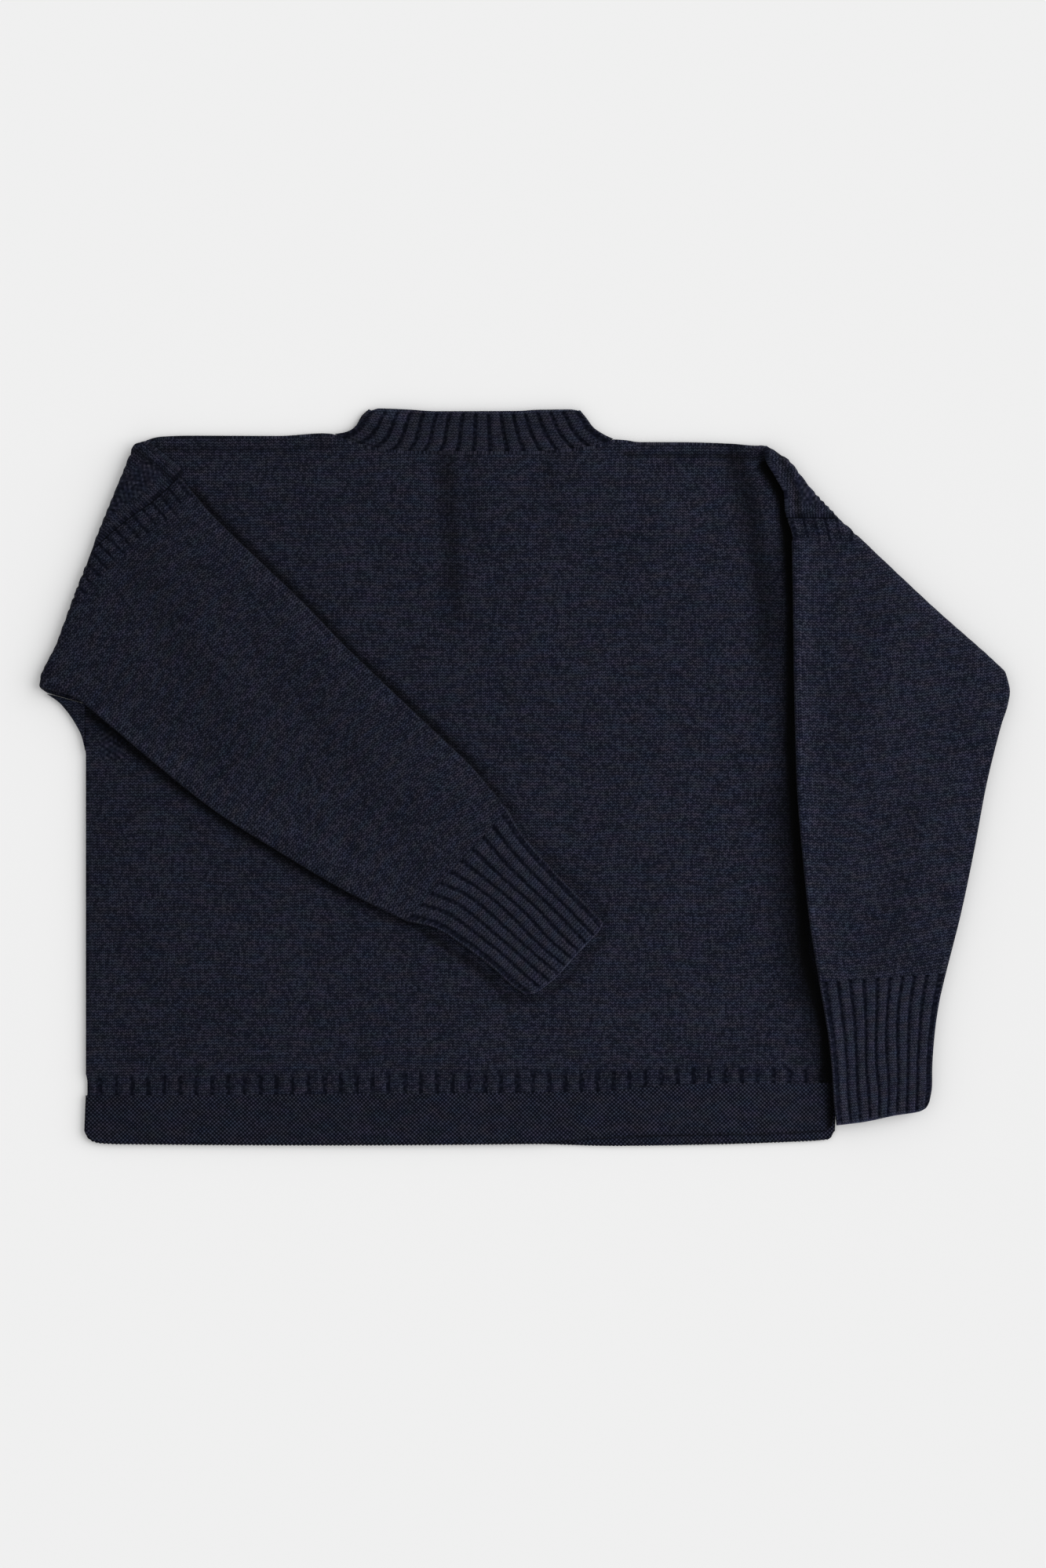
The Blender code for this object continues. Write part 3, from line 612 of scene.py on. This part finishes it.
def body_panel(name, upward, step, material):
    """Front or back of the body."""
    share, toward, angle = body_columns(step)
    lift, top_angle = body_rows(step)
    at_top = top_angle >= 0
    y_top, shoulder = body_top(share)
    y_low = curve(WELT_SEAM, share)[:, 0] + SEAM_GAP
    y_plain = y_low + lift * (y_top - y_low)
    left, right = armhole_x(-1, y_plain), armhole_x(1, y_plain)
    x_plain = left + share * (right - left)
    rounded = 1 - smooth(GUSSET_FOOT - 2.0, GUSSET_FOOT, y_plain)

    # Relief: furrow at the armholes, rib band at the hem, furrow below the shoulder straps
    from_side = np.minimum(x_plain - left, right - x_plain)
    from_seam = from_side + NO_SEAM * (1 - smooth(GUSSET_FOOT, ARMPIT, y_plain))
    above, below_top = y_plain - y_low, y_top - y_plain
    band = 1 - smooth(*HEM_RIB_EASE, above - curve(HEM_RIB_TOP, share)[:, 0])
    hollow = band * (1 - rib_wave((x_plain - BODY_CENTRE) / HEM_RIB_PITCH * STITCHES_A_RIB))
    furrow = shoulder * np.exp(-((below_top - STRAP_WIDTH) / STRAP_FURROW_WIDTH) ** 2)
    moss = smooth(-1, 1, from_side - MOSS_INSET[0]) * (1 - smooth(-1, 1, from_side - MOSS_INSET[1]))
    moss = moss * smooth(-1, 1, y_plain - MOSS_FOOT) * smooth(0, 2, below_top - STRAP_WIDTH)
    sunk = SEAM_DEPTH * groove(from_seam) + RIB_HEIGHT * hollow + STRAP_FURROW_DEPTH * furrow

    grids = []
    for radius in (EDGE_RADIUS - sunk, np.full_like(sunk, PITH_RADIUS)):
        round_in = rounded * (EDGE_RADIUS - radius * np.cos(angle))
        plain_in = (1 - rounded) * EDGE_RADIUS * (1 - np.cos(angle))
        x = x_plain + toward * (round_in + plain_in)
        rise = np.where(toward != 0, rounded * np.sin(angle) + 1 - rounded, 1.0)
        top_in = shoulder * (EDGE_RADIUS - radius * np.cos(top_angle)) + (1 - shoulder) * (
            SEAM_GAP + EDGE_RADIUS * (1 - np.cos(top_angle)))
        y = np.where(at_top, y_plain - top_in, y_plain)
        top_rise = np.where(at_top, shoulder * np.sin(top_angle) + 1 - shoulder, 1.0)
        lift_off = np.maximum(radius * np.minimum(rise, top_rise), SEAM_GAP / 2)
        grids.append(np.dstack((x, y, MID + upward * lift_off)))
    uv = np.dstack(((x_plain - BODY_CENTRE) / WALE, y_plain / COURSE))
    top_from = TOP_OF_TWO if upward > 0 else TOP_OF_FOUR
    piece = cloth(name, *grids, uv, False, material, top_from, shade=STRAP_FURROW_SHADE * furrow, moss=moss,
                  band=band, from_seam=from_seam)
    width, length, area = cut_size(grids[0])
    return piece


def welt(name, upward, hem, material):
    """Hem welt of garter stitch, free at its sides."""
    step = WELT_STEP[name]
    lower = by_width(hem)
    share = np.linspace(0, 1, spans(BODY_WIDTH, step))
    row = np.linspace(0, 1, spans(WELT_ROWS_LENGTH, step))[:, None]
    x_low, y_low = curve(lower, share).T
    x_high = SIDE[-1] + share * BODY_WIDTH
    y_high = curve(WELT_SEAM, share)[:, 0] + 0.9 * SEAM_GAP
    x = x_low + row * (x_high - x_low)
    y = y_low + row * (y_high - y_low)
    across, along = x / GARTER_PITCH[0], y / GARTER_PITCH[1]
    knots = 0.5 + 0.5 * np.cos(2 * math.pi * across) * np.cos(2 * math.pi * along)
    edge = np.minimum(row * WELT_LENGTH, np.minimum(share, 1 - share) * BODY_WIDTH)
    rim = np.exp(-(edge / WELT_RIM_WIDTH) ** 2)
    sunk = GARTER_HEIGHT * (1 - knots) + WELT_RIM_DEPTH * rim
    y = y - SCALLOP * (0.5 + 0.5 * np.cos(2 * math.pi * across)) * np.exp(-row / SCALLOP_REACH)
    grids = [np.dstack((x, y, MID + upward * radius))
             for radius in (EDGE_RADIUS - sunk, np.full_like(sunk, PITH_RADIUS))]
    uv = np.dstack((across, along))
    piece = cloth(name, *grids, uv, False, material, TOP_OF_TWO if upward > 0 else TOP_OF_FOUR,
                  shade=WELT_RIM_SHADE * rim)
    width, length, area = cut_size(grids[0])
    return piece


def sleeve(name, side, material):
    """Sleeve, a flattened tube from the armhole's seam to the cuff."""
    table = SLEEVE[side]
    first_reach, last_reach = table[0][0], table[-1][0]
    start = np.linspace(0, 1, spans(first_reach, SLEEVE_STEP))[:-1]
    rest = np.linspace(first_reach, last_reach, spans(last_reach - first_reach, SLEEVE_STEP))
    reach = np.concatenate((np.full_like(start, first_reach), rest))
    seam_weight = np.concatenate((1 - start, np.zeros(len(reach) - len(start))))
    top, bottom = curve(table, reach).T
    top = top + seam_weight * (SLEEVE_TOP[side] - top)
    bottom = bottom + seam_weight * (ARMPIT + SEAM_GAP - bottom)
    x = SIDE[side] + side * reach
    low, high = np.column_stack((x, bottom)), np.column_stack((x, top))
    across = spans(SLEEVE_TOP[side] - ARMPIT, SLEEVE_STEP)

    def bow(share):
        stand = curve(ARMHOLE[side], share)[..., 0] + ARMHOLE_GAP
        shift = side * (stand - first_reach) * seam_weight[:, None]
        return np.dstack((shift, np.zeros_like(shift)))

    share = ring(across)[0]
    stand = curve(ARMHOLE[side], share)[:, 0]
    from_seam = reach[:, None] - stand + (stand - first_reach) * seam_weight[:, None]
    y = bottom[:, None] + share * (top - bottom)[:, None]
    band = 1 - smooth(*HEAD_RIB_EASE, from_seam - HEAD_RIB_LENGTH)
    hollow = band * (1 - rib_wave(y / HEAD_RIB_PITCH * STITCHES_A_RIB))
    sunk = SEAM_DEPTH * groove(from_seam) + HEAD_RIB_DEPTH * RIB_HEIGHT * hollow
    outside = tube(low, high, across, EDGE_RADIUS - sunk, bow)
    inside = tube(low, high, across, np.full_like(sunk, PITH_RADIUS), bow)
    distance = around(across, top - bottom)
    length = np.hstack((from_seam, from_seam[:, :1]))
    uv = np.dstack((distance / WALE, length / COURSE))
    piece = cloth(name, outside, inside, uv, True, material, TOP_OF_FOUR, shade=edge_shade(across), band=band,
                  from_seam=from_seam)
    half = outside[:, :across + 2 * len(ARC)]
    width, length, area = cut_size(half)
    return piece


def ribbed_tube(name, low, high, across, ribs, material, lengths, bow, top_from):
    """Ribbed flattened tube: ribs counts those across one face, lengths runs along it."""
    width = np.linalg.norm(high - low, axis=1)
    distance = around(across, width)
    turn = distance / width[:, None]
    phase = lengths[:, None] / RIB_WANDER_LENGTH + RIB_WANDER_TURNS * turn
    wander = RIB_WANDER * np.sin(2 * math.pi * phase) * np.sin(math.pi * turn) ** 2
    stitches = turn * ribs * STITCHES_A_RIB + wander
    rolled = np.exp(-((lengths[-1] - lengths) / ROLL_WIDTH) ** 2)[:, None]
    sunk = RIB_HEIGHT * (1 - rib_wave(stitches[:, :-1])) * (1 - ROLL_FILL * rolled)
    outside = tube(low, high, across, EDGE_RADIUS - sunk, bow)
    inside = tube(low, high, across, np.full_like(sunk, PITH_RADIUS), bow)
    uv = np.dstack((stitches, np.repeat(lengths[:, None], stitches.shape[1], 1) / COURSE))
    # painted shade at the tube's edges, painted light on its rolled last row
    piece = cloth(name, outside, inside, uv, True, material, top_from,
                  shade=edge_shade(across) - ROLL_LIGHT * rolled, band=1 - rolled)
    half = outside[:, :across + 2 * len(ARC)]
    size_x, size_y, area = cut_size(half)
    return piece, (size_x, size_y, 2 * area)


def cuff(name, side, material):
    """Ribbed cuff, which goes on from the sleeve."""
    table = CUFF[side]
    reach = np.linspace(table[0][0], table[-1][0], spans(table[-1][0] - table[0][0], CUFF_ROW_STEP))
    bottom_reach, top, bottom = curve(table, reach).T
    high = np.column_stack((SIDE[side] + side * reach, top))
    low = np.column_stack((SIDE[side] + side * bottom_reach, bottom))
    across = spans(table[0][2] - table[0][3], RIB_STEP)
    near_end = smooth(reach[-1] - CUFF_END_LENGTH, reach[-1], reach)[:, None]

    def bow(share):
        shift = side * near_end * curve(CUFF_END[side], share)[..., 0]
        return np.dstack((shift, np.zeros_like(shift)))

    piece, (length, width, area) = ribbed_tube(name, low, high, across, CUFF_RIBS, material,
                                               reach - reach[0], bow, TOP_OF_FOUR)
    return piece


def collar(name, material):
    """Stand collar on the neck's edge, open at its rim."""
    base = neck_rows()
    row = np.linspace(0, 1, COLLAR_ROWS)
    x_left, y_left, x_right, y_right = curve(COLLAR_SIDES, row).T
    across = spans(NECK_ENDS[1] - NECK_ENDS[0], RIB_STEP)

    def bow(share):
        y_base, y_rim = curve(base, share)[..., 0], curve(COLLAR_RIM, share)[..., 0]
        level = y_left[:, None] + share * (y_right - y_left)[:, None]
        weight = np.clip(np.minimum(share, 1 - share) / COLLAR_END_SHARE, 0, 1)
        y_base = y_base - COLLAR_DIP
        lift = weight * (y_base + row[:, None] * (y_rim - y_base) - level)
        return np.dstack((np.zeros_like(lift), lift))

    piece, (width, length, area) = ribbed_tube(
        name, np.column_stack((x_left, y_left)), np.column_stack((x_right, y_right)), across, COLLAR_RIBS,
        material, row * COLLAR_LENGTH, bow, TOP_OF_TWO)
    return piece


def gusset_edges(side):
    """Outer edge of a gusset, on its fold, and its inner edge, along the sleeve's and the body's seams."""
    edge_rows = [(share, SIDE[side] + side * reach, y)
                 for share, (reach, y) in zip(np.linspace(0, 1, len(GUSSET_EDGE[side])), GUSSET_EDGE[side])]
    first, last = edge_rows[0], edge_rows[-1]
    inner_rows = (
        (0.0, first[1] + side * GUSSET_SLEEVE_END[0], first[2] + GUSSET_SLEEVE_END[1]),
        (0.5, SIDE[side] + side * SEAM_GAP, ARMPIT - SEAM_GAP),
        (1.0, last[1] + side * GUSSET_BODY_END[0], last[2] + GUSSET_BODY_END[1]),
    )
    share = np.linspace(0, 1, GUSSET_ROWS)
    places, x, y = np.array(inner_rows).T
    inner = np.column_stack((np.interp(share, places, x), np.interp(share, places, y)))
    return curve(edge_rows, share), inner


def gusset(name, side, material):
    """Underarm gusset, a diamond folded in half between the sleeve and the body."""
    outer, inner = gusset_edges(side)
    run = inner - outer
    width = np.linalg.norm(run, axis=1)[:, None]
    depth = np.concatenate((np.zeros_like(ARC), np.linspace(GUSSET_FIRST_COLUMN, 1.0, GUSSET_COLUMNS)))
    flat = np.concatenate((np.cos(ARC), np.zeros(GUSSET_COLUMNS)))
    rise = np.concatenate((np.sin(ARC), np.ones(GUSSET_COLUMNS)))
    grids = []
    for radius in (EDGE_RADIUS, PITH_RADIUS):
        near = np.minimum((EDGE_RADIUS - radius * flat) * (depth == 0), width * GUSSET_NARROW[0])
        least = np.minimum(EDGE_RADIUS / width + 0.02, GUSSET_NARROW[1])
        distance = np.where(depth == 0, near, width * np.maximum(depth, least))
        upper = outer[:, None, :] + run[:, None, :] * (distance / width)[..., None]
        heights = np.broadcast_to(radius * rise, distance.shape)
        top = np.dstack((upper, MID + heights))
        low = np.dstack((upper, MID - heights))[:, :0:-1]
        grids.append(np.hstack((low, top)))
    uv = grids[0][..., :2] / (WALE, COURSE)
    piece = cloth(name, *grids, uv, False, material, TOP_OF_FOUR)
    area = cut_size(grids[0][:, len(depth):])[2]
    return piece


class Drawing:
    """Arithmetic and mixing in a material's node tree."""

    def __init__(self, tree):
        self.tree = tree

    def node(self, kind, **settings):
        made = self.tree.nodes.new(kind)
        for key, value in settings.items():
            setattr(made, key, value)
        return made

    def plug(self, socket, value):
        if isinstance(value, bpy.types.NodeSocket):
            self.tree.links.new(value, socket)
        else:
            socket.default_value = value

    def sum(self, operation, *values):
        made = self.node("ShaderNodeMath", operation=operation)
        for socket, value in zip(made.inputs, values):
            self.plug(socket, value)
        return made.outputs[0]

    def attribute(self, label):
        return self.node("ShaderNodeAttribute", attribute_name=label).outputs["Fac"]

    def noise(self, u, v, scale_u, scale_v, detail):
        """Noise from 0 to 1 that is stretched along the wales or the courses."""
        place = self.node("ShaderNodeCombineXYZ")
        self.plug(place.inputs[0], self.sum("MULTIPLY", u, scale_u))
        self.plug(place.inputs[1], self.sum("MULTIPLY", v, scale_v))
        made = self.node("ShaderNodeTexNoise")
        made.inputs["Scale"].default_value = 1.0
        made.inputs["Detail"].default_value = detail
        self.plug(made.inputs["Vector"], place.outputs[0])
        return made.outputs[0]

    def speckle(self, u, v):
        """A random level from 0 to 1 for each pair of whole numbers."""
        place = self.node("ShaderNodeCombineXYZ")
        self.plug(place.inputs[0], u)
        self.plug(place.inputs[1], v)
        made = self.node("ShaderNodeTexWhiteNoise", noise_dimensions="2D")
        self.plug(made.inputs["Vector"], place.outputs[0])
        return made.outputs["Value"]

    def multiply(self, colour, other):
        made = self.node("ShaderNodeMix", data_type="RGBA", blend_type="MULTIPLY")
        colours = [s for s in made.inputs if s.type == "RGBA"]
        made.inputs[0].default_value = 1.0
        self.plug(colours[0], colour)
        self.plug(colours[1], other)
        return [s for s in made.outputs if s.type == "RGBA"][0]

    def ease(self, value, low, high):
        """0 below low, 1 above high, eased between them."""
        made = self.node("ShaderNodeMapRange", interpolation_type="SMOOTHSTEP")
        for socket, given in zip(made.inputs, (value, low, high)):
            self.plug(socket, given)
        return made.outputs[0]

    def ramp(self, value, colours):
        """Colour ramp through three colours."""
        made = self.node("ShaderNodeValToRGB")
        elements = made.color_ramp.elements
        elements[0].color, elements[1].color = colours[0], colours[2]
        elements.new(0.5).color = colours[1]
        self.plug(made.inputs[0], value)
        return made.outputs[0]


def bump_wave(draw, turns, depth):
    """A row of rounded bumps, one a turn, that rise from 1 - depth to 1."""
    from_middle = draw.sum("MULTIPLY_ADD", draw.sum("FRACT", turns), 2.0, -1.0)
    return draw.sum("MULTIPLY_ADD", draw.sum("MULTIPLY", from_middle, from_middle), -depth, 1.0)


def plain_stitches(draw, u, v):
    """Stocking stitch: two slanting legs a stitch, as a height from 0 to 1, and each leg's own number."""
    across = draw.sum("ABSOLUTE", draw.sum("MULTIPLY_ADD", draw.sum("FRACT", u), 2.0, -1.0))
    slanted = draw.sum("MULTIPLY_ADD", across, -LEG_SLANT, v)
    legs = draw.sum("MULTIPLY", u, 2.0)
    height = draw.sum("MULTIPLY", bump_wave(draw, legs, LEG_DEPTH), bump_wave(draw, slanted, STRAND_DEPTH))
    return height, draw.speckle(draw.sum("FLOOR", legs), draw.sum("FLOOR", slanted))


def knotted_stitches(draw, u, v):
    """Garter or moss stitch: knots on a staggered lattice, as a height from 0 to 1."""
    turn = 2 * math.pi
    across = draw.sum("COSINE", draw.sum("MULTIPLY", u, turn))
    along = draw.sum("COSINE", draw.sum("MULTIPLY", v, turn))
    return draw.sum("MULTIPLY_ADD", draw.sum("MULTIPLY", across, along), 0.5, 0.5)


def rib_hollow(draw, u, rib_wales):
    """Purled part of a rib, 0 on its ridge and 1 in its hollow, where the band attribute asks for ribs."""
    turn = draw.sum("FRACT", draw.sum("DIVIDE", u, rib_wales))
    from_hollow = draw.sum("ABSOLUTE", draw.sum("MULTIPLY_ADD", turn, 2.0, -1.0))
    hollow = draw.sum("SUBTRACT", 1.0, draw.ease(from_hollow, *RIB_EDGE))
    return draw.sum("MULTIPLY", hollow, draw.attribute("band"))


def wavy(draw, u, v):
    """The count of stitches, with wales and courses that stray from straight."""
    across = draw.noise(v, u, *NOISES["wale_wave"])
    along = draw.noise(u, v, *NOISES["course_wave"])
    return draw.sum("MULTIPLY_ADD", across, WALE_WAVE, u), draw.sum("MULTIPLY_ADD", along, COURSE_WAVE, v)


def knots_all_over(draw, u, v):
    """Garter stitch: height, and each knot's own number."""
    rising, falling = draw.sum("ROUND", draw.sum("ADD", u, v)), draw.sum("ROUND", draw.sum("SUBTRACT", u, v))
    return knotted_stitches(draw, u, v), draw.speckle(rising, falling)


def knitted_and_purled(draw, u, v, hollow, look):
    """Stocking stitch with purled bands, sunk in the ribs' hollows and at the seams, with painted shade
    there: height, and number.
    """
    plain, speck = plain_stitches(draw, u, v)
    knots = knotted_stitches(draw, draw.sum("MULTIPLY", u, 0.5), draw.sum("MULTIPLY", v, 0.5))
    knots = draw.sum("MULTIPLY_ADD", knots, *PURL_HEIGHT)
    purled = draw.sum("MAXIMUM", draw.attribute("moss"), hollow)
    height = draw.sum("ADD", draw.sum("MULTIPLY", plain, draw.sum("SUBTRACT", 1.0, purled)),
                      draw.sum("MULTIPLY", knots, purled))
    seam = draw.sum("SUBTRACT", 1.0, draw.ease(draw.attribute("from_seam"), *SEAM_EDGE))
    # painted shade in the ribs' hollows and at the seams
    sunk = draw.sum("ADD", draw.sum("MULTIPLY", hollow, look["hollow"]),
                    draw.sum("MULTIPLY", seam, SEAM_SHADE))
    return draw.sum("SUBTRACT", height, draw.sum("DIVIDE", sunk, look["contrast"])), speck


def painted_shade_and_tint(draw, u, v):
    """Colour that darkens the wool by the shade attribute, which is painted shade (painted light where it is
    negative), and strays in red and in blue.
    """
    light = draw.sum("EXPONENT", draw.sum("MULTIPLY", draw.attribute("shade"), -SHADE))
    made = draw.node("ShaderNodeCombineColor")
    red, blue = draw.noise(u, v, *NOISES["red"]), draw.noise(v, u, *NOISES["blue"])
    for channel, noise, amount in ((0, red, RED_TINT), (2, blue, BLUE_TINT)):
        near_one = draw.sum("MULTIPLY_ADD", noise, amount, 1 - amount / 2)
        draw.plug(made.inputs[channel], draw.sum("MULTIPLY", light, near_one))
    draw.plug(made.inputs[1], light)
    return made.outputs[0]


def wool(name, look, rib_wales=None):
    """Navy worsted wool, knitted: the UV map counts its stitches. Without rib_wales it is all knots."""
    material = bpy.data.materials.new(name)
    material.use_nodes = True
    draw = Drawing(material.node_tree)
    shader = material.node_tree.nodes["Principled BSDF"]
    place = draw.node("ShaderNodeUVMap", uv_map="stitches")
    split = draw.node("ShaderNodeSeparateXYZ")
    draw.plug(split.inputs[0], place.outputs[0])
    straight_u = split.outputs[0]
    u, v = wavy(draw, straight_u, split.outputs[1])
    if rib_wales is None:
        height, speck = knots_all_over(draw, u, v)
    else:
        height, speck = knitted_and_purled(draw, u, v, rib_hollow(draw, straight_u, rib_wales), look)
    values = {"speck": speck}
    for label in ("yarn", "streak", "patch"):
        values[label] = draw.noise(u, v, *NOISES[label])
    # the stitches' height paints shade into their furrows; the noises below are the yarn's own colour
    level = draw.sum("MULTIPLY_ADD", height, look["contrast"], look["level"])
    for label, value in values.items():
        level = draw.sum("ADD", level, draw.sum("MULTIPLY_ADD", value, look[label], -look[label] / 2))
    colour = draw.ramp(level, (YARN_DARK, YARN_MID, YARN_LIGHT))
    draw.plug(shader.inputs["Base Color"], draw.multiply(colour, painted_shade_and_tint(draw, u, v)))
    bump = draw.node("ShaderNodeBump")
    bump.inputs["Strength"].default_value = 1.0
    bump.inputs["Distance"].default_value = STITCH_RELIEF * MM
    fluff = draw.sum("MULTIPLY", values["yarn"], YARN_RELIEF)
    draw.plug(bump.inputs["Height"], draw.sum("ADD", height, fluff))
    draw.plug(shader.inputs["Normal"], bump.outputs[0])
    dress(shader, WOOL_LOOK)
    return material


def dress(shader, look):
    """Set a shader's own sockets."""
    for socket, value in look.items():
        shader.inputs[socket].default_value = value


def light_and_camera():
    """Pale floor, a soft key light from the right, an even sky and a camera straight above."""
    bpy.ops.mesh.primitive_plane_add(size=FLOOR_SIZE, location=(0.0, 0.0, -FLOOR_DROP))
    floor = bpy.context.object
    floor.name = "floor"
    paper = bpy.data.materials.new("pale_floor")
    paper.use_nodes = True
    dress(paper.node_tree.nodes["Principled BSDF"], FLOOR_LOOK)
    floor.data.materials.append(paper)
    world = bpy.data.worlds.new("studio")
    world.use_nodes = True
    world.node_tree.nodes["Background"].inputs[0].default_value = PAPER_WHITE
    world.node_tree.nodes["Background"].inputs[1].default_value = SKY
    scene = bpy.context.scene
    scene.world = world
    sun = bpy.data.objects.new("key", bpy.data.lights.new("key", "SUN"))
    sun.data.energy = SUN["strength"]
    sun.data.angle = math.radians(SUN["spread"])
    sun.rotation_euler = (0.0, math.radians(90 - SUN["elevation"]), math.radians(SUN["azimuth"]))
    scene.collection.objects.link(sun)
    camera = bpy.data.objects.new("camera", bpy.data.cameras.new("camera"))
    camera.data.lens = LENS
    camera.data.sensor_width = SENSOR
    camera.location = (*CAMERA_TARGET, CAMERA_DISTANCE + float(cad_box[1].z) / 2)
    scene.collection.objects.link(camera)
    scene.camera = camera
    scene.view_settings.view_transform = "Standard"


body_wool = wool("navy_body", PLAIN, HEM_RIB_PITCH / WALE)
sleeve_wool = wool("navy_sleeve", PLAIN, HEAD_RIB_PITCH / WALE)
ribbing = wool("navy_rib", RIBBED, STITCHES_A_RIB)
garter = wool("navy_garter", KNOTTED)
light_and_camera()
body_panel("body_back", -1, BACK_STEP, body_wool)
body_panel("body_front", 1, BODY_STEP, body_wool)
welt("welt_back", -1, BACK_HEM, garter)
welt("welt_front", 1, FRONT_HEM, garter)
collar("collar", ribbing)
for word, side in (("left", -1), ("right", 1)):
    sleeve("sleeve_" + word, side, sleeve_wool)
    cuff("cuff_" + word, side, ribbing)
    gusset("gusset_" + word, side, sleeve_wool)
